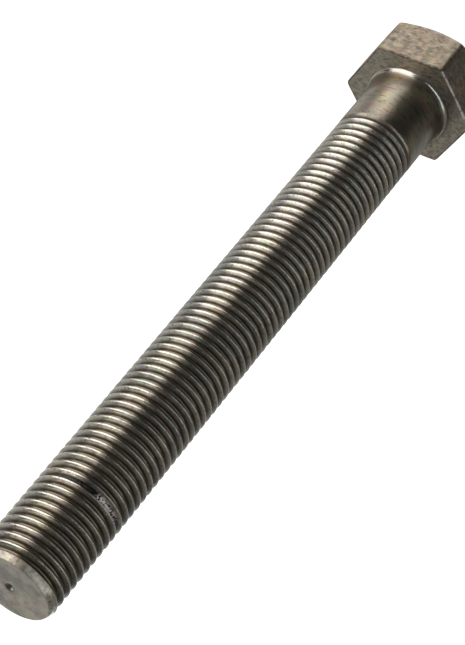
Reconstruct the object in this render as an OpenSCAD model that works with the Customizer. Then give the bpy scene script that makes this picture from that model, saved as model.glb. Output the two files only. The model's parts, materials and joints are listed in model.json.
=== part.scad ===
// Metric hex bolt: hexagon head, short plain shank, coarse right-hand thread and a chamfered end.
// The bearing face under the head lies at z = 0, the head is below it and the thread points up.

/* [Thread] */
// Diameter over the thread crests
thread_d = 21.8; // [21:0.1:24]
// Distance from one crest to the next
pitch = 2.5; // [2.5:0.1:3]
// Depth of the groove below the crests
thread_depth = 1.45; // [1:0.05:1.5]
// Height of a crest above the bearing face where it crosses the +X side, as a share of the pitch
crest_phase = 0.726; // [0:0.01:1]

/* [Length] */
// Bearing face to the end face
length = 180; // [90:1:200]
// Bearing face to the first trace of the groove
groove_start = 18.2; // [10:0.1:40]
// Height over which the groove reaches its full depth
lead_in = 1.5; // [0.5:0.1:5]

/* [Shank] */
// Diameter of the plain shank
shank_d = 21.8; // [21:0.1:24]
// How far the fillet under the head stands out from the shank
fillet_width = 1.4; // [0.6:0.1:2]
// How far the fillet climbs up the shank
fillet_height = 2.8; // [1:0.1:5]

/* [Head] */
// Width across the flats
across_flats = 32; // [30:0.5:40]
// Height of the head
head_h = 14; // [8:0.5:20]
// Radius of the flat top inside the corner chamfer, as a share of half the width across flats
chamfer_circle = 0.93; // [0.85:0.01:0.98]
// Slope of the corner chamfer
chamfer_angle = 30; // [15:1:35]

/* [End] */
// How far the rim of the end face lies inside the crests
end_inset = 0.9; // [0.4:0.1:1.4]
// Length of the end chamfer along the bolt
end_chamfer = 1.9; // [1:0.1:3]
// Diameter of the centre dimple
dimple_d = 2.6; // [1:0.1:4]
// Depth of the centre dimple
dimple_depth = 0.9; // [0.3:0.1:1.5]

/* [Hidden] */
$fn = 96;

shank_r = shank_d / 2;
crest_r = thread_d / 2;
corner_r = across_flats / 2 / cos(30);
end_face_r = crest_r - end_inset;
chamfer_r = chamfer_circle * across_flats / 2;

// The plain shank stops this far short of the first trace of the groove.
shank_margin = 0.7;
thread_start = groove_start - shank_margin;

// One pitch of the profile: a crest flat, a 30 degree flank, a root flat and the other flank.
crest_flat = pitch / 8;
flank = thread_depth * tan(30);
profile_z = [0, crest_flat, crest_flat + flank, pitch - flank];
profile_depth = [0, 0, thread_depth, thread_depth];
profile_points = len(profile_z);

// The groove fades out where it meets the end chamfer.
lead_out = 1.3;
groove_end = length - 0.7;

// The helix is laid out longer than the thread at both ends and cut to length.
segments = 20;
spare_turns = 1;
blank_overrun = 8;
first_turn = floor(thread_start / pitch) - spare_turns;
helix_turns = ceil((length - thread_start) / pitch) + 2 * spare_turns;
helix_rows = helix_turns * profile_points + 1;
helix_z = (first_turn + crest_phase) * pitch - crest_flat / 2;
blank_low = helix_z - blank_overrun;
blank_high = helix_z + (helix_turns + 1) * pitch + blank_overrun;

// Share of the full groove depth at height z.
function ramp(t) = min(1, max(0, t));
function groove_share(z) =
    min(ramp((z - groove_start) / lead_in), ramp((groove_end - z) / lead_out));

// A point on the rim of a circle of radius r, at one of the segments.
function rim(r, column, z) =
    let (a = 360 * column / segments) [r * cos(a), r * sin(a), z];

// Height and place of one vertex of the helix.
function row_z(row, column) =
    let (turn = floor(row / profile_points) + column / segments)
    helix_z + pitch * turn + profile_z[row % profile_points];
function helix_point(row, column) =
    let (z = row_z(row, column))
    rim(crest_r - profile_depth[row % profile_points] * groove_share(z), column, z);

// Vertex numbers: the low ring first, then the helix row by row, then the high ring.
// The far side of the last column is the first column, one turn higher.
function low_id(column) = column % segments;
function high_id(column) = segments * (helix_rows + 1) + column % segments;
function helix_id(row, column) =
    column < segments ? segments * (row + 1) + column
    : segments * (row + 1 + profile_points);

// Quarter ellipse from the shank out to the bearing face.
fillet_steps = 10;
fillet_curve = [
    for (i = [0 : fillet_steps])
        let (t = 90 * i / fillet_steps)
        [shank_r + fillet_width * (1 - cos(t)), fillet_height * (1 - sin(t))]
];

module chamfered_hexagon() {
    reach = corner_r + 1;
    intersection() {
        translate([0, 0, -head_h]) cylinder(r = corner_r, h = head_h, $fn = 6);
        rotate_extrude() polygon([
            [0, -head_h],
            [chamfer_r, -head_h],
            [reach, -head_h + (reach - chamfer_r) * tan(chamfer_angle)],
            [reach, 1],
            [0, 1]
        ]);
    }
}

module under_head_fillet() {
    root = 2;
    rotate_extrude() polygon(concat(
        [[0, fillet_height]],
        fillet_curve,
        [[shank_r + fillet_width, -root], [0, -root]]
    ));
}

module hex_head() {
    color([0.56, 0.53, 0.48]) union() {
        chamfered_hexagon();
        under_head_fillet();
    }
}

module plain_shank() {
    color([0.60, 0.56, 0.50])
        translate([0, 0, fillet_height])
            cylinder(r = shank_r, h = thread_start - fillet_height);
}

// The turned blank that the groove is rolled into: plain, with a chamfered end and a centre dimple.
module threaded_blank() {
    // The chamfer's cone runs on to a radius clear of the crests, the dimple's cone past the end.
    blank_r = crest_r + 1;
    cone_low = length - end_chamfer * (blank_r - end_face_r) / end_inset;
    dimple_h = dimple_depth + 1;
    difference() {
        rotate_extrude() polygon([
            [0, thread_start],
            [blank_r, thread_start],
            [blank_r, cone_low],
            [end_face_r, length],
            [0, length]
        ]);
        translate([0, 0, length - dimple_depth])
            cylinder(r1 = 0, r2 = dimple_d / 2 * dimple_h / dimple_depth, h = dimple_h);
    }
}

module helix() {
    last = helix_rows - 1;
    low_ring = [for (c = [0 : segments - 1]) rim(crest_r, c, blank_low)];
    high_ring = [for (c = [0 : segments - 1]) rim(crest_r, c, blank_high)];
    wall = [for (r = [0 : last]) for (c = [0 : segments - 1]) helix_point(r, c)];
    turns = [
        for (r = [0 : last - 1]) for (c = [0 : segments - 1])
            if (c < segments - 1 || r + 1 + profile_points <= last)
                [helix_id(r, c), helix_id(r + 1, c), helix_id(r + 1, c + 1), helix_id(r, c + 1)]
    ];
    // The first and last turns end on a step, which one many-sided face on each ring closes.
    low_side = [
        for (c = [0 : segments - 2])
            [low_id(c), helix_id(0, c), helix_id(0, c + 1), low_id(c + 1)]
    ];
    low_step = concat(
        [low_id(segments - 1), helix_id(0, segments - 1)],
        [for (r = [profile_points : -1 : 0]) helix_id(r, 0)],
        [low_id(0)]
    );
    high_side = [
        for (c = [0 : segments - 2])
            [helix_id(last, c), high_id(c), high_id(c + 1), helix_id(last, c + 1)]
    ];
    high_step = concat(
        [for (r = [last - profile_points : last]) helix_id(r, segments - 1)],
        [high_id(segments - 1), high_id(0), helix_id(last, 0)]
    );
    polyhedron(
        points = concat(low_ring, wall, high_ring),
        faces = concat(
            [[for (c = [0 : segments - 1]) low_id(c)]],
            low_side, [low_step], turns, high_side, [high_step],
            [[for (c = [segments - 1 : -1 : 0]) high_id(c)]]
        ),
        convexity = 10
    );
}

module thread() {
    color([0.50, 0.47, 0.42]) intersection() {
        helix();
        threaded_blank();
    }
}

hex_head();
plain_shank();
thread();
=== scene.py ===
"""Hex bolt: the visual model of the part, on a pale floor in soft light. Metres, +Z from head to tip."""

import json
import math

import bpy
from mathutils import Matrix, Vector, noise

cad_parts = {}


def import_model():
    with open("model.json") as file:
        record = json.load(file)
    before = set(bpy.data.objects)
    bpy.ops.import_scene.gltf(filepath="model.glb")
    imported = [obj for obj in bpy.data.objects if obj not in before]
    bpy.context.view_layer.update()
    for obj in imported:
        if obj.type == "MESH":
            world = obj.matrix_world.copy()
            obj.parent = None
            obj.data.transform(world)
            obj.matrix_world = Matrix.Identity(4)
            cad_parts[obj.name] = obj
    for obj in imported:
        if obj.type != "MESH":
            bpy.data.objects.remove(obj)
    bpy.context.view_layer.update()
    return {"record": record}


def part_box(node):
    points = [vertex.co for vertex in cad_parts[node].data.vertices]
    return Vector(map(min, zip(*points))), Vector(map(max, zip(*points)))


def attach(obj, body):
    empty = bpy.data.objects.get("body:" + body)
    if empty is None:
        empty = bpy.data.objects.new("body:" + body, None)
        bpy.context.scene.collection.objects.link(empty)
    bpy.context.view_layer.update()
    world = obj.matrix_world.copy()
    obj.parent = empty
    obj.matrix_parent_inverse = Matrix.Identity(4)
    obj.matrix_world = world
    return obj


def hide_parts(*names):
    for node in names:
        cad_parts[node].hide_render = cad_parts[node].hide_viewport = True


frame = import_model()
record = frame["record"]
mounts = {m["name"]: m for m in record["mounts"]}

# ---- Sizes, from the frame ----
MM = 0.001
SHANK_R = mounts["shank"]["dims"]["r_mm"] * MM
CREST_R = mounts["thread"]["dims"]["r_mm"] * MM
LENGTH = mounts["end_face"]["pos_m"][2]
GROOVE_START = LENGTH - mounts["thread"]["dims"]["length_mm"] * MM
HEAD_TOP_Z = mounts["head_top"]["pos_m"][2]
HALF_FLATS = -mounts["wrench_flat"]["pos_m"][1]
FILLET_TOP_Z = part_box("plain_shank")[0][2]
THREAD_START_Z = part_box("thread")[0][2]

# ---- Sizes of the thread ----
PITCH = 2.5 * MM
THREAD_DEPTH = 1.45 * MM
# Where the middle of a crest lies at angle 0, as a share of the pitch.
CREST_PHASE = 0.726
CREST_FLAT = PITCH / 8
HALF_ANGLE = math.radians(30)
FLANK_SLOPE = math.tan(HALF_ANGLE)
# The radius whose arc touches both flanks and bottoms out at the thread's depth.
ROOT_R = (PITCH - CREST_FLAT) / 2 / FLANK_SLOPE - THREAD_DEPTH
CREST_ROUND = 0.18 * MM
LEAD_IN = 2.2 * MM
LEAD_OUT = 1.3 * MM
GROOVE_END = LENGTH - 0.7 * MM
# Over this length the neck's finish gives way to the thread's.
START_FADE = 4 * MM
# The helix stops here, and plain rings carry on over the chamfer's rim.
HELIX_END = LENGTH - 0.45 * MM
END_FACE_R = 10.0 * MM
END_CHAMFER = 1.9 * MM
CHAMFER_ROUND = 0.12 * MM
END_ROUND = 0.16 * MM
DIMPLE_R = 1.3 * MM
DIMPLE_DEPTH = 0.9 * MM

# ---- Sizes of the head ----
FILLET_WIDTH = 1.4 * MM
TOP_CIRCLE_R = 0.93 * HALF_FLATS
CHAMFER_SLOPE = math.tan(math.radians(30))
EDGE_ROUND = 0.30 * MM
CORNER_ROUND = 0.55 * MM
# How far the sharp corner is cut back.
CORNER_CUT = 0.12 * MM

# ---- Wear ----
# How far the surface wavers, and roughly how many waves there are to a metre.
WAVER, WAVER_SCALE = 0.012 * MM, 450
# One groove near the end is scuffed over part of a turn: black first, then nicked down to bare steel, with
# the nicks painted near-white as glints.
SCUFF_TURN = 60
SCUFF_FROM, SCUFF_TO = math.radians(174), math.radians(306)
SCUFF_NICKS = math.radians(226)
SCUFF_NEAR, SCUFF_FAR = 0.70 * MM, 2.10 * MM
SCUFF_DEPTH, SCUFF_SCALE = 0.08 * MM, 900
SCUFF_EDGE = 0.3 * MM
# The rim of the bearing face along each flat, from the one that faces 30 degrees round: 1 is worn bright,
# -1 is blackened.
RIM_WEAR = (0.3, 0.5, -0.4, 1.0, -1.0, -0.5)

# ---- Mesh columns round the axis ----
TURN_COLUMNS = 80
HEAD_COLUMNS = 192


# ---- Small helpers ----
def clamp01(t):
    return min(1.0, max(0.0, t))


def smooth_min(a, b, width):
    """The smaller of a and b, with the crease between them rounded over that width."""
    h = max(width - abs(a - b), 0.0) / width
    return min(a, b) - h * h * width / 4


def fade_in(x, start, end):
    """0 below start and 1 above end, with a smooth step between."""
    t = clamp01((x - start) / (end - start))
    return t * t * (3 - 2 * t)


class Surface:
    """Vertices with named marks, such as how deep in the groove each one lies, and faces."""

    def __init__(self, *marks):
        self.vertices = []
        self.faces = []
        self.marks = {name: [] for name in marks}

    def add(self, r, angle, z, **marks):
        self.vertices.append((r * math.cos(angle), r * math.sin(angle), z))
        for name, values in self.marks.items():
            values.append(marks.get(name, 0.0))
        return len(self.vertices) - 1

    def ring(self, rim, angles, rings, **marks):
        """Carries the surface on from a rim through rings: each is one (radius, z) or a list of them."""
        count = len(angles)
        for ring in rings:
            pairs = ring if isinstance(ring, list) else [ring] * count
            ids = []
            for j, (r, z) in enumerate(pairs):
                here = {k: v[j] if isinstance(v, list) else v for k, v in marks.items()}
                ids.append(self.add(r, angles[j], z, **here))
            for j in range(count):
                k = (j + 1) % count
                self.faces.append([rim[j], rim[k], ids[k], ids[j]])
            rim = ids
        return rim

    def close(self, rim, z, **marks):
        """Closes a rim with a fan to a point on the axis."""
        tip = self.add(0.0, 0.0, z, **marks)
        count = len(rim)
        self.faces.extend([rim[j], rim[(j + 1) % count], tip] for j in range(count))

    def cap(self, r, angles, z, **marks):
        """A flat disc with a rim of its own, to close off an end; reversed angles make it face down."""
        rim = [self.add(r, angle, z, **marks) for angle in angles]
        self.close(rim, z, **marks)

    def piece(self, name, node, slot, material):
        mesh = bpy.data.meshes.new(name)
        mesh.from_pydata(self.vertices, [], self.faces)
        for mark, values in self.marks.items():
            mesh.attributes.new(mark, "FLOAT", "POINT").data.foreach_set("value", values)
        mesh.polygons.foreach_set("use_smooth", [True] * len(mesh.polygons))
        mesh.materials.append(material)
        mesh.update()
        piece = bpy.data.objects.new(name, mesh)
        bpy.context.scene.collection.objects.link(piece)
        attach(piece, "root")
        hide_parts(node)


def full_turn(count):
    return [2 * math.pi * j / count for j in range(count)]


# ---- Thread ----
def groove_share(z):
    """Share of the full groove depth at height z: the groove fades in at the neck and out at the end."""
    rise = fade_in(z, GROOVE_START, GROOVE_START + LEAD_IN)
    fall = clamp01((GROOVE_END - z) / LEAD_OUT)
    return min(rise, fall)


def groove_profile(x):
    """Depth of the thread profile at distance x along the axis from the middle of a crest, before fading."""
    from_root = abs(x - PITCH / 2)
    if from_root < ROOT_R * math.cos(HALF_ANGLE):
        return THREAD_DEPTH - ROOT_R + math.sqrt(ROOT_R ** 2 - from_root ** 2)
    flank = ((PITCH - CREST_FLAT) / 2 - from_root) / FLANK_SLOPE
    return -smooth_min(-flank, 0.0, CREST_ROUND)


def profile_stations():
    """Distances from the middle of a crest at which the profile is laid out, crest to crest."""
    half = [x * MM for x in (0, 0.08, 0.14, 0.20, 0.28, 0.86, 0.95, 1.04, 1.14)]
    return half + [PITCH / 2] + [PITCH - x for x in reversed(half[1:])]


def end_cone_r(z):
    """Radius of the end chamfer's cone at height z."""
    return END_FACE_R + (CREST_R - END_FACE_R) * (LENGTH - z) / END_CHAMFER


def scuff_share(turn, angle, x):
    """How badly a point x above a crest is scuffed, from 0 to 1."""
    if turn != SCUFF_TURN:
        return 0.0
    along = fade_in(angle, SCUFF_FROM, SCUFF_FROM + 0.15) * fade_in(-angle, -SCUFF_TO, -SCUFF_TO + 0.5)
    across = fade_in(x, SCUFF_NEAR, SCUFF_NEAR + SCUFF_EDGE)
    across *= fade_in(-x, -SCUFF_FAR, -SCUFF_FAR + SCUFF_EDGE)
    return along * across


def thread_point(surface, turn, angle, x, z):
    """One vertex of the helix, x above the crest of that turn, with its waver and any scuff."""
    depth = groove_profile(x) * groove_share(z)
    scuff = scuff_share(turn, angle, x)
    at = Vector((math.cos(angle), math.sin(angle), 0)) * CREST_R + Vector((0, 0, z))
    depth += WAVER * noise.noise(at * WAVER_SCALE)
    depth -= SCUFF_DEPTH * scuff * (0.4 + noise.noise(at * SCUFF_SCALE))
    cone_r = end_cone_r(z)
    marks = {
        "groove": clamp01(depth / THREAD_DEPTH),
        "scuff": scuff,
        "nicks": fade_in(-angle, -SCUFF_NICKS - 0.2, -SCUFF_NICKS),
        "start": 1 - fade_in(z, GROOVE_START, GROOVE_START + START_FADE),
        "chamfer": fade_in(CREST_R - depth - cone_r, -0.05 * MM, 0.15 * MM),
    }
    return surface.add(smooth_min(CREST_R - depth, cone_r, CHAMFER_ROUND), angle, z, **marks)


def thread_surface():
    """A grid wound round as the helix is, clipped at the neck and the tip, then rings over the end face."""
    surface = Surface("groove", "scuff", "nicks", "start", "chamfer", "end")
    stations = profile_stations()
    turn_rows = len(stations)
    low, high = THREAD_START_Z, HELIX_END
    first_turn = math.floor(low / PITCH) - 2
    rows = (math.ceil((high - low) / PITCH) + 4) * turn_rows
    angles = full_turn(TURN_COLUMNS)
    columns = []
    for angle in angles:
        share = angle / (2 * math.pi)
        ids = []
        low_id = surface.add(CREST_R, angle, low, start=1.0)
        for row in range(rows):
            turn, k = divmod(row, turn_rows)
            z = PITCH * (first_turn + turn + share + CREST_PHASE) + stations[k]
            if z <= low:
                ids.append(low_id)
            elif z < high:
                ids.append(thread_point(surface, first_turn + turn, angle, stations[k], z))
            else:
                high_id = surface.add(end_cone_r(high), angle, high, chamfer=1.0)
                ids.extend([high_id] * (rows - row))
                break
        columns.append(ids)
    # One turn on, the first column comes round again a whole turn of rows higher.
    columns.append(columns[0][turn_rows:] + [columns[0][-1]] * turn_rows)
    for left, right in zip(columns, columns[1:]):
        for row in range(rows - 1):
            corners = dict.fromkeys((left[row], right[row], right[row + 1], left[row + 1]))
            if len(corners) > 2:
                surface.faces.append(list(corners))
    rim = [column[-1] for column in columns[:-1]]
    rings = end_face_rings()
    rim = surface.ring(rim, angles, rings[:6], chamfer=1.0)
    rim = surface.ring(rim, angles, rings[6:], end=1.0)
    surface.close(rim, LENGTH - DIMPLE_DEPTH, end=1.0)
    surface.cap(CREST_R, angles[::-1], low, start=1.0)
    return surface


def end_face_rings():
    """(radius, z) from the end of the helix over the chamfer's rim, the end face and the dimple."""
    rings = [(end_cone_r(LENGTH - z * MM), LENGTH - z * MM) for z in (0.30, 0.20, 0.14)]
    for i in range(1, 6):
        t = math.pi / 2 * i / 5
        rings.append(
            (END_FACE_R + 0.05 * MM - END_ROUND * (1 - math.cos(t)), LENGTH - 0.10 * MM * (1 - math.sin(t)))
        )
    rings += [(r * MM, LENGTH) for r in (9.7, 8.6, 7.0, 5.4, 4.0, 2.8, 1.9)]
    rings.append((DIMPLE_R + 0.16 * MM, LENGTH))
    rings.append((DIMPLE_R + 0.05 * MM, LENGTH - 0.02 * MM))
    for share in (0.93, 0.8, 0.6, 0.4, 0.2):
        rings.append((DIMPLE_R * share, LENGTH - DIMPLE_DEPTH * (1 - share ** 1.5)))
    return rings


# ---- Head and shank ----
def hexagon_r(angle):
    """Radius of the rounded hexagon at an angle, with corners on X and flats square to Y."""
    sector = math.pi / 3
    turned = (angle % sector) - sector / 2
    flat = HALF_FLATS / math.cos(turned)
    corner_r = HALF_FLATS / math.cos(sector / 2)
    return smooth_min(flat, corner_r - CORNER_CUT, CORNER_ROUND)


def head_surface():
    """From the fillet over the bearing face, the flats and the chamfer to the middle of the top."""
    surface = Surface("turned", "wear", "face", "polish")
    angles = full_turn(HEAD_COLUMNS)
    outline = [hexagon_r(a) for a in angles]
    rim = [surface.add(SHANK_R, a, FILLET_TOP_Z, turned=1.0) for a in angles]
    steps = 14
    fillet = []
    for i in range(1, steps + 1):
        t = math.pi / 2 * i / steps
        fillet.append((SHANK_R + FILLET_WIDTH * (1 - math.cos(t)), FILLET_TOP_Z * (1 - math.sin(t))))
    for i, ring in enumerate(fillet):
        shine = fade_in(i, 3, 7) * (1 - fade_in(i, 9, 13))
        rim = surface.ring(rim, angles, [ring], turned=1 - fade_in(i, 9, 13), polish=shine)
    fillet_r = fillet[-1][0]
    for share in (0.04, 0.15, 0.3, 0.5, 0.7, 0.85, 0.94):
        ring = [(fillet_r + (r - EDGE_ROUND - fillet_r) * share, 0.0) for r in outline]
        rim = surface.ring(rim, angles, [ring], face=1.0)
    rim_wear = [RIM_WEAR[int(a // (math.pi / 3))] for a in angles]
    for i in range(6):
        t = math.pi / 2 * i / 5
        dip, inset = EDGE_ROUND * (1 - math.cos(t)), EDGE_ROUND * (1 - math.sin(t))
        rim = surface.ring(rim, angles, [[(r - inset, -dip) for r in outline]], wear=rim_wear)
    side_low = [HEAD_TOP_Z + (r - TOP_CIRCLE_R) * CHAMFER_SLOPE for r in outline]
    for share in (0.04, 0.2, 0.4, 0.6, 0.8, 0.95):
        ring = [
            (r, -EDGE_ROUND + (z + EDGE_ROUND + 0.2 * MM) * share) for r, z in zip(outline, side_low)
        ]
        rim = surface.ring(rim, angles, [ring])
    for inset, lift in ((0.0, 0.12), (0.03, 0.02), (0.10, 0.0), (0.25, 0.0)):
        ring = [
            (r - inset * MM, z + lift * MM - inset * MM * CHAMFER_SLOPE) for r, z in zip(outline, side_low)
        ]
        rim = surface.ring(rim, angles, [ring], wear=0.3 if inset < 0.2 else 0.0)
    inner_r = TOP_CIRCLE_R + 0.1 * MM
    for share in (0.3, 0.6, 0.85):
        radii = [r - 0.25 * MM + (inner_r - r + 0.25 * MM) * share for r in outline]
        ring = [(r, HEAD_TOP_Z + (r - TOP_CIRCLE_R) * CHAMFER_SLOPE) for r in radii]
        rim = surface.ring(rim, angles, [ring])
    top = [(inner_r, HEAD_TOP_Z + 0.05 * MM), (TOP_CIRCLE_R - 0.1 * MM, HEAD_TOP_Z)]
    top += [(TOP_CIRCLE_R * share, HEAD_TOP_Z) for share in (0.9, 0.7, 0.5, 0.3, 0.12)]
    rim = surface.ring(rim, angles, top)
    surface.close(rim, HEAD_TOP_Z)
    surface.cap(SHANK_R, angles[::-1], FILLET_TOP_Z, turned=1.0)
    # The rings run from the shank down, so the faces are turned to look outward.
    surface.faces = [face[::-1] for face in surface.faces]
    return surface


def shank_surface():
    surface = Surface("turned")
    angles = full_turn(HEAD_COLUMNS)
    rim = [surface.add(SHANK_R, a, FILLET_TOP_Z, turned=1.0) for a in angles]
    rings = 12
    step = (THREAD_START_Z - FILLET_TOP_Z) / rings
    heights = [FILLET_TOP_Z + step * (i + 1) for i in range(rings)]
    surface.ring(rim, angles, [(SHANK_R, z) for z in heights], turned=1.0)
    surface.cap(SHANK_R, angles, THREAD_START_Z, turned=1.0)
    surface.cap(SHANK_R, angles[::-1], FILLET_TOP_Z, turned=1.0)
    return surface


# ---- Materials ----
class Nodes:
    """A short way to lay out a node material."""

    def __init__(self, name):
        self.material = bpy.data.materials.new(name)
        self.material.use_nodes = True
        self.tree = self.material.node_tree
        self.shader = self.tree.nodes["Principled BSDF"]
        self.coords = self.tree.nodes.new("ShaderNodeTexCoord").outputs["Object"]

    def link(self, a, b):
        self.tree.links.new(a, b)

    def mapped(self, scale):
        node = self.tree.nodes.new("ShaderNodeMapping")
        node.inputs["Scale"].default_value = scale
        self.link(self.coords, node.inputs["Vector"])
        return node.outputs["Vector"]

    def noise(self, scale, detail=4.0, stretch=(1, 1, 1), roughness=0.5):
        node = self.tree.nodes.new("ShaderNodeTexNoise")
        node.inputs["Scale"].default_value = scale
        node.inputs["Detail"].default_value = detail
        node.inputs["Roughness"].default_value = roughness
        self.link(self.mapped(stretch), node.inputs["Vector"])
        return node.outputs["Fac"]

    def ramp(self, source, stops):
        node = self.tree.nodes.new("ShaderNodeValToRGB")
        ramp = node.color_ramp
        while len(ramp.elements) < len(stops):
            ramp.elements.new(0.5)
        for element, (place, colour) in zip(ramp.elements, stops):
            element.position = place
            element.color = (*colour, 1)
        self.link(source, node.inputs["Fac"])
        return node.outputs["Color"]

    def span(self, source, low, high, out_low, out_high):
        node = self.tree.nodes.new("ShaderNodeMapRange")
        for key, value in zip(("From Min", "From Max", "To Min", "To Max"), (low, high, out_low, out_high)):
            node.inputs[key].default_value = value
        self.link(source, node.inputs["Value"])
        return node.outputs["Result"]

    def mix(self, factor, a, b, blend="MIX"):
        node = self.tree.nodes.new("ShaderNodeMix")
        node.data_type = "RGBA"
        node.blend_type = blend
        if isinstance(factor, float):
            node.inputs[0].default_value = factor
        else:
            self.link(factor, node.inputs[0])
        self.link(a, node.inputs[6])
        self.link(b, node.inputs[7])
        return node.outputs[2]

    def attribute(self, name):
        node = self.tree.nodes.new("ShaderNodeAttribute")
        node.attribute_name = name
        return node.outputs["Fac"]

    def math(self, operation, a, b):
        node = self.tree.nodes.new("ShaderNodeMath")
        node.operation = operation
        self.link(a, node.inputs[0])
        self.link(b, node.inputs[1])
        return node.outputs["Value"]

    def times(self, a, b):
        return self.math("MULTIPLY", a, b)

    def plus(self, a, b):
        return self.math("ADD", a, b)

    def bump(self, height, distance, strength=1.0, normal=None):
        node = self.tree.nodes.new("ShaderNodeBump")
        node.inputs["Strength"].default_value = strength
        node.inputs["Distance"].default_value = distance
        self.link(height, node.inputs["Height"])
        if normal is not None:
            self.link(normal, node.inputs["Normal"])
        return node.outputs["Normal"]


def tints(n, colour, scale, amount):
    """Faint pink, gold, green and blue, as on steel that has been hot or is lightly oiled."""
    node = n.tree.nodes.new("ShaderNodeTexNoise")
    node.inputs["Scale"].default_value = scale
    node.inputs["Detail"].default_value = 3.0
    n.link(n.coords, node.inputs["Vector"])
    return n.mix(amount, colour, node.outputs["Color"], "SOFT_LIGHT")


def shades(tone, dark=0.8, light=1.12):
    """Three shades of a tone: darker and cooler, as it is, lighter and warmer."""
    cool = tuple(c * dark * k for c, k in zip(tone, (0.95, 1.0, 1.04)))
    warm = tuple(c * light * k for c, k in zip(tone, (1.03, 1.0, 0.95)))
    return cool, tone, warm


def toned(n, source, tone, dark, light, spread=(0.36, 0.5, 0.64)):
    """Shades of a tone, laid out over the source's values."""
    return n.ramp(source, list(zip(spread, shades(tone, dark, light))))


def mottled(n, tone, scale, dark=0.8, light=1.12):
    return toned(n, n.noise(scale, 5.0, roughness=0.6), tone, dark, light)


def ring_scratches(n):
    """Fine lines that run round the axis."""
    return n.noise(60.0, 6.0, (1, 1, 60), 0.6)


THREAD_TONE = (0.64, 0.625, 0.565)
# Nearly black flanks in the grooves: dirt, deepened into painted shade.
GROOVE_DIRT_AND_SHADE = (0.075, 0.06, 0.045)
ROOT_TONE = (0.165, 0.135, 0.10)
RIM_TONE = (0.44, 0.40, 0.33)
END_TONE = (0.455, 0.42, 0.36)
SHANK_TONE = (0.268, 0.235, 0.188)
FILLET_TONE = (0.52, 0.50, 0.45)
FORGED_TONE = (0.305, 0.258, 0.203)
FACE_TONE = (0.42, 0.385, 0.32)


def thread_steel():
    """Bright pocked crests, flanks darkened by dirt and painted shade, a brown root, a dull chamfer and end,
    and one scuffed groove whose nicks are painted as glints.
    """
    n = Nodes("thread_steel")
    groove, start, chamfer, end, scuff = map(n.attribute, ("groove", "start", "chamfer", "end", "scuff"))
    grime = n.noise(500.0, 4.0)
    colour = tints(n, mottled(n, THREAD_TONE, 110.0), 420.0, 0.4)
    colour = n.mix(start, colour, mottled(n, SHANK_TONE, 140.0))
    pocks = n.noise(1300.0, 4.0, (1, 1, 1.6), 0.65)
    pocks = n.ramp(pocks, [(0.37, (0.42, 0.38, 0.34)), (0.46, (1, 1, 1))])
    colour = n.mix(0.75, colour, pocks, "MULTIPLY")
    # Painted shade with dirt: the flanks are painted near black and the root brown, as far in as the groove
    # mark reaches.
    dirt_and_shade = n.times(n.span(groove, 0.15, 0.62, 0.0, 1.0), n.span(grime, 0.25, 0.6, 0.8, 1.0))
    shaded_groove_dirt = n.ramp(groove, [(0.78, GROOVE_DIRT_AND_SHADE), (0.92, ROOT_TONE)])
    grubby = n.ramp(grime, [(0.35, (0.7, 0.66, 0.62)), (0.65, (1.3, 1.2, 1.05))])
    shaded_groove_dirt = n.mix(0.8, shaded_groove_dirt, grubby, "MULTIPLY")
    colour = n.mix(dirt_and_shade, colour, shaded_groove_dirt)
    blotches = n.noise(900.0, 6.0, roughness=0.75)
    worn = toned(n, blotches, RIM_TONE, 0.4, 1.5)
    colour = n.mix(n.span(chamfer, 0, 1, 0, 0.9), colour, worn)
    dull = tints(n, mottled(n, END_TONE, 170.0, dark=0.68, light=1.18), 500.0, 0.2)
    specks = n.ramp(n.noise(1500.0, 3.0), [(0.3, (0.4, 0.36, 0.34)), (0.38, (1, 1, 1))])
    colour = n.mix(end, colour, n.mix(0.9, dull, specks, "MULTIPLY"))
    nicks = n.noise(1500.0, 4.0)
    ragged = n.ramp(nicks, [(0.4, (0.012, 0.01, 0.009)), (0.6, (0.06, 0.05, 0.045))])
    # The nicks are painted from black to near-white: bare steel with its glint painted in.
    glinting_nicks = [(0.42, (0.02, 0.016, 0.014)), (0.48, (0.35, 0.3, 0.29)), (0.53, (1.0, 0.9, 0.88))]
    scuffed = n.mix(n.attribute("nicks"), ragged, n.ramp(nicks, glinting_nicks))
    colour = n.mix(n.span(scuff, 0.15, 0.5, 0.0, 1.0), colour, scuffed)
    n.link(colour, n.shader.inputs["Base Color"])
    scratch = ring_scratches(n)
    rough = n.span(scratch, 0.3, 0.7, 0.17, 0.30)
    in_groove = n.times(n.span(groove, 0.3, 0.6, 0.0, 1.0), n.span(groove, 0.76, 0.88, 0.08, -0.04))
    rough = n.plus(rough, in_groove)
    rough = n.plus(rough, n.times(n.plus(end, chamfer), n.span(grime, 0.3, 0.7, 0.1, 0.24)))
    rough = n.plus(rough, n.span(start, 0, 1, 0, 0.1))
    n.link(rough, n.shader.inputs["Roughness"])
    # Where the nicks are bare: painted near-white as a glint and made less metallic.
    bare = n.times(n.times(scuff, n.attribute("nicks")), n.span(nicks, 0.42, 0.5, 0.0, 1.0))
    # Dirt with its painted shade, and the bare nicks painted near-white as glints, scatter light, so they
    # are less metallic than the steel.
    less_metallic = n.plus(n.span(dirt_and_shade, 0, 1, 0, 0.22), n.span(bare, 0.0, 0.5, 0.0, 0.78))
    n.link(n.span(less_metallic, 0, 1, 1, 0), n.shader.inputs["Metallic"])
    normal = n.bump(scratch, 0.000015, 0.5)
    normal = n.bump(n.noise(900.0, 3.0), 0.00003, 0.5, normal)
    normal = n.bump(n.times(blotches, chamfer), 0.00012, 0.8, normal)
    n.link(n.bump(n.times(nicks, scuff), 0.0003, 1.0, normal), n.shader.inputs["Normal"])
    return n.material


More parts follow.
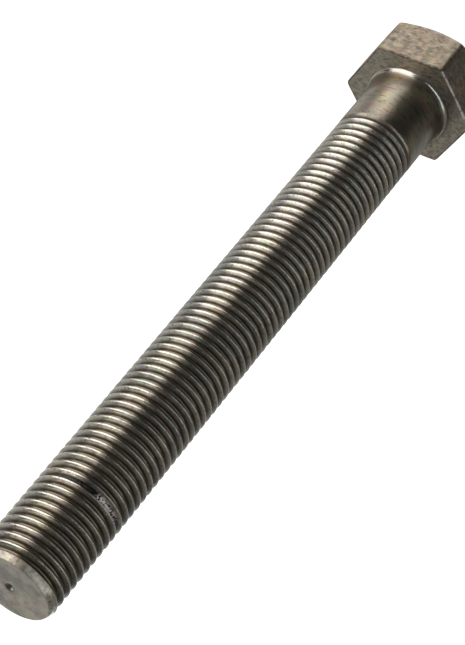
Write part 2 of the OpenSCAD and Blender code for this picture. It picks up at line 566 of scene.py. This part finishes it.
def head_steel(name):
    """Forged flats with scale marks and pits, worn edges, and a smooth turned neck and fillet."""
    n = Nodes(name)
    turned, face, wear, polish = map(n.attribute, ("turned", "face", "wear", "polish"))
    scratch = ring_scratches(n)
    neck = tints(n, mottled(n, SHANK_TONE, 140.0, dark=0.78, light=1.2), 260.0, 0.3)
    scores = n.ramp(n.noise(300.0, 5.0, (1, 1, 5), 0.7), [(0.37, (0.4, 0.35, 0.3)), (0.45, (1, 1, 1))])
    neck = n.mix(0.8, neck, scores, "MULTIPLY")
    neck = n.mix(polish, neck, mottled(n, FILLET_TONE, 300.0))
    scale_marks = n.noise(430.0, 8.0, (1, 1, 1.7), 0.82)
    forged = toned(n, scale_marks, FORGED_TONE, 0.5, 1.5, (0.38, 0.5, 0.62))
    face_marks = n.noise(600.0, 6.0, (1, 1.6, 1), 0.8)
    forged = n.mix(face, forged, toned(n, face_marks, FACE_TONE, 0.5, 1.3, (0.38, 0.5, 0.64)))
    forged = tints(n, forged, 1100.0, 0.5)
    patches = n.noise(700.0, 3.0)
    bare = n.times(n.span(wear, 0, 1, 0, 1), n.span(patches, 0.35, 0.5, 0.3, 1.0))
    bright = n.ramp(scale_marks, [(0.3, (0.8, 0.72, 0.68)), (0.6, (1.0, 0.93, 0.89))])
    forged = n.mix(bare, forged, bright)
    blackened = n.times(n.span(wear, -1, 0, 1, 0), n.span(patches, 0.42, 0.6, 1.0, 0.35))
    black = n.ramp(scale_marks, [(0.3, (0.05, 0.04, 0.034)), (0.6, (0.12, 0.1, 0.08))])
    forged = n.mix(blackened, forged, black)
    n.link(n.mix(turned, forged, neck), n.shader.inputs["Base Color"])
    rough_forged = n.span(scale_marks, 0.3, 0.7, 0.52, 0.38)
    rough_neck = n.plus(n.span(scratch, 0.3, 0.7, 0.27, 0.38), n.span(polish, 0, 1, 0, -0.12))
    rough = n.plus(n.times(turned, rough_neck), n.times(n.span(turned, 0, 1, 1, 0), rough_forged))
    n.link(rough, n.shader.inputs["Roughness"])
    n.shader.inputs["Metallic"].default_value = 1.0
    relief = n.span(n.plus(turned, face), 0.0, 1.0, 1.0, 0.2)
    normal = n.bump(scratch, 0.00001, 0.5)
    n.link(n.bump(n.times(scale_marks, relief), 0.0002, 0.7, normal), n.shader.inputs["Normal"])
    return n.material


# ---- Camera, floor and lights ----
FLOOR_SIZE = 6.0
FLOOR_GAP = 0.05 * MM
CAMERA_AT = Vector((-0.17904, -0.35859, 0.36568))
CAMERA_RIGHT = Vector((-0.85234, 0.02185, -0.52253))
CAMERA_DOWN = Vector((-0.37308, 0.67479, 0.63677))
SENSOR = 36.0
LENS = 113.11


def camera():
    data = bpy.data.cameras.new("camera")
    data.sensor_fit = "VERTICAL"
    data.sensor_height = SENSOR
    data.sensor_width = SENSOR
    data.lens = LENS
    data.clip_start = 0.01
    data.clip_end = 20.0
    view = bpy.data.objects.new("camera", data)
    bpy.context.scene.collection.objects.link(view)
    right = CAMERA_RIGHT.normalized()
    back = right.cross(-CAMERA_DOWN).normalized()
    up = back.cross(right)
    turn = Matrix((right, up, back)).transposed()
    view.matrix_world = Matrix.Translation(CAMERA_AT) @ turn.to_4x4()
    bpy.context.scene.camera = view
    return back


def floor():
    size = FLOOR_SIZE
    mesh = bpy.data.meshes.new("floor")
    z = HEAD_TOP_Z - FLOOR_GAP
    corners = [(-size, -size, z), (size, -size, z), (size, size, z), (-size, size, z)]
    mesh.from_pydata(corners, [], [(0, 1, 2, 3)])
    piece = bpy.data.objects.new("floor", mesh)
    bpy.context.scene.collection.objects.link(piece)
    n = Nodes("floor")
    pale = n.ramp(n.noise(3.0), [(0.3, (0.86, 0.86, 0.86)), (0.7, (0.88, 0.88, 0.88))])
    n.link(pale, n.shader.inputs["Base Color"])
    n.shader.inputs["Roughness"].default_value = 0.9
    n.link(pale, n.shader.inputs["Emission Color"])
    n.shader.inputs["Emission Strength"].default_value = 1.1
    mesh.materials.append(n.material)
    # The floor shows, but neither shades the bolt nor mirrors in it.
    piece.visible_glossy = False
    piece.visible_diffuse = False
    piece.visible_shadow = False


def area_light(name, aim, distance, along, size, radiance, colour=(1, 1, 1), slide=0.0):
    """A soft rectangle facing the bolt from aim, its second side laid towards along and slid that way."""
    data = bpy.data.lights.new(name, "AREA")
    data.shape = "RECTANGLE"
    data.size, data.size_y = size
    data.energy = radiance * math.pi * size[0] * size[1]
    data.color = colour
    lamp = bpy.data.objects.new(name, data)
    bpy.context.scene.collection.objects.link(lamp)
    back = aim.normalized()
    side = along.cross(back).normalized()
    turn = Matrix((side, back.cross(side), back)).transposed()
    middle = Vector((0, 0, LENGTH / 2)) + back * distance + back.cross(side) * slide
    lamp.matrix_world = Matrix.Translation(middle) @ turn.to_4x4()
    lamp.visible_camera = False


def world(strength):
    sky = bpy.data.worlds.new("world")
    sky.use_nodes = True
    nodes, links = sky.node_tree.nodes, sky.node_tree.links
    path = nodes.new("ShaderNodeLightPath")
    seen = nodes.new("ShaderNodeMapRange")
    seen.inputs["To Min"].default_value = strength
    seen.inputs["To Max"].default_value = 1.0
    links.new(path.outputs["Is Camera Ray"], seen.inputs["Value"])
    background = nodes["Background"]
    background.inputs["Color"].default_value = (1, 1, 1, 1)
    links.new(seen.outputs["Result"], background.inputs["Strength"])
    bpy.context.scene.world = sky


def lights(back):
    """Soft boxes set by three ways: towards the viewer, along the bolt to its head, and to its lit side."""
    axis = Vector((0, 0, -1))
    head_way = (axis - axis.dot(back) * back).normalized()
    lit_side = back.cross(head_way)
    key_aim = lit_side + 0.53 * back + 0.18 * head_way
    key_lie = head_way - 0.38 * back
    area_light("key", key_aim, 0.3, key_lie, (0.30, 1.08), 2.1, (1.0, 0.98, 0.95), 0.05)
    gold_aim = 0.53 * lit_side + 0.85 * back + 0.08 * head_way
    area_light("gold_edge", gold_aim, 0.3, key_lie, (0.04, 0.8), 0.3, (1.0, 0.7, 0.36), 0.14)
    beside_key = 0.75 * lit_side - 0.6 * back + 0.3 * head_way
    area_light("beside_key", beside_key, 0.6, head_way, (0.6, 1.2), 0.46, (1.0, 0.97, 0.9))
    area_light("table", -back, 0.9, head_way, (2.4, 2.4), 0.36, (0.95, 0.98, 1.0))
    area_light("low_side", 0.6 * lit_side - 0.25 * back - 0.78 * head_way, 0.9, back, (0.8, 0.8), 0.42)
    area_light("end", Vector((0.405, 0.812, 0.36)), 1.0, head_way, (0.55, 0.55), 0.70, (1.0, 0.97, 0.92))
    area_light("strip", -0.66 * lit_side + 0.75 * back, 0.9, head_way, (1.3, 0.24), 1.5, (0.9, 0.96, 1.0))
    near_aim = -0.56 * lit_side + 0.66 * back - 0.50 * head_way
    area_light("near_strip", near_aim, 0.2, head_way, (0.17, 0.018), 0.9, (0.88, 0.96, 1.0))
    area_light("dim_side", -lit_side - 0.1 * back, 0.9, head_way, (1.3, 2.4), 0.15, (1.0, 0.92, 0.82))
    behind = Vector((-back.x, -back.y, -0.22))
    area_light("behind", behind, 0.9, axis, (0.75, 0.5), 1.3, (1.0, 0.98, 0.95))


thread_surface().piece("bolt_thread", "thread", "thread_steel", thread_steel())
head_surface().piece("bolt_head", "hex_head", "head_steel", head_steel("head_steel"))
shank_surface().piece("bolt_shank", "plain_shank", "shank_steel", head_steel("shank_steel"))

towards_viewer = camera()
floor()
lights(towards_viewer)
world(0.05)
bpy.context.scene.view_settings.view_transform = "Standard"
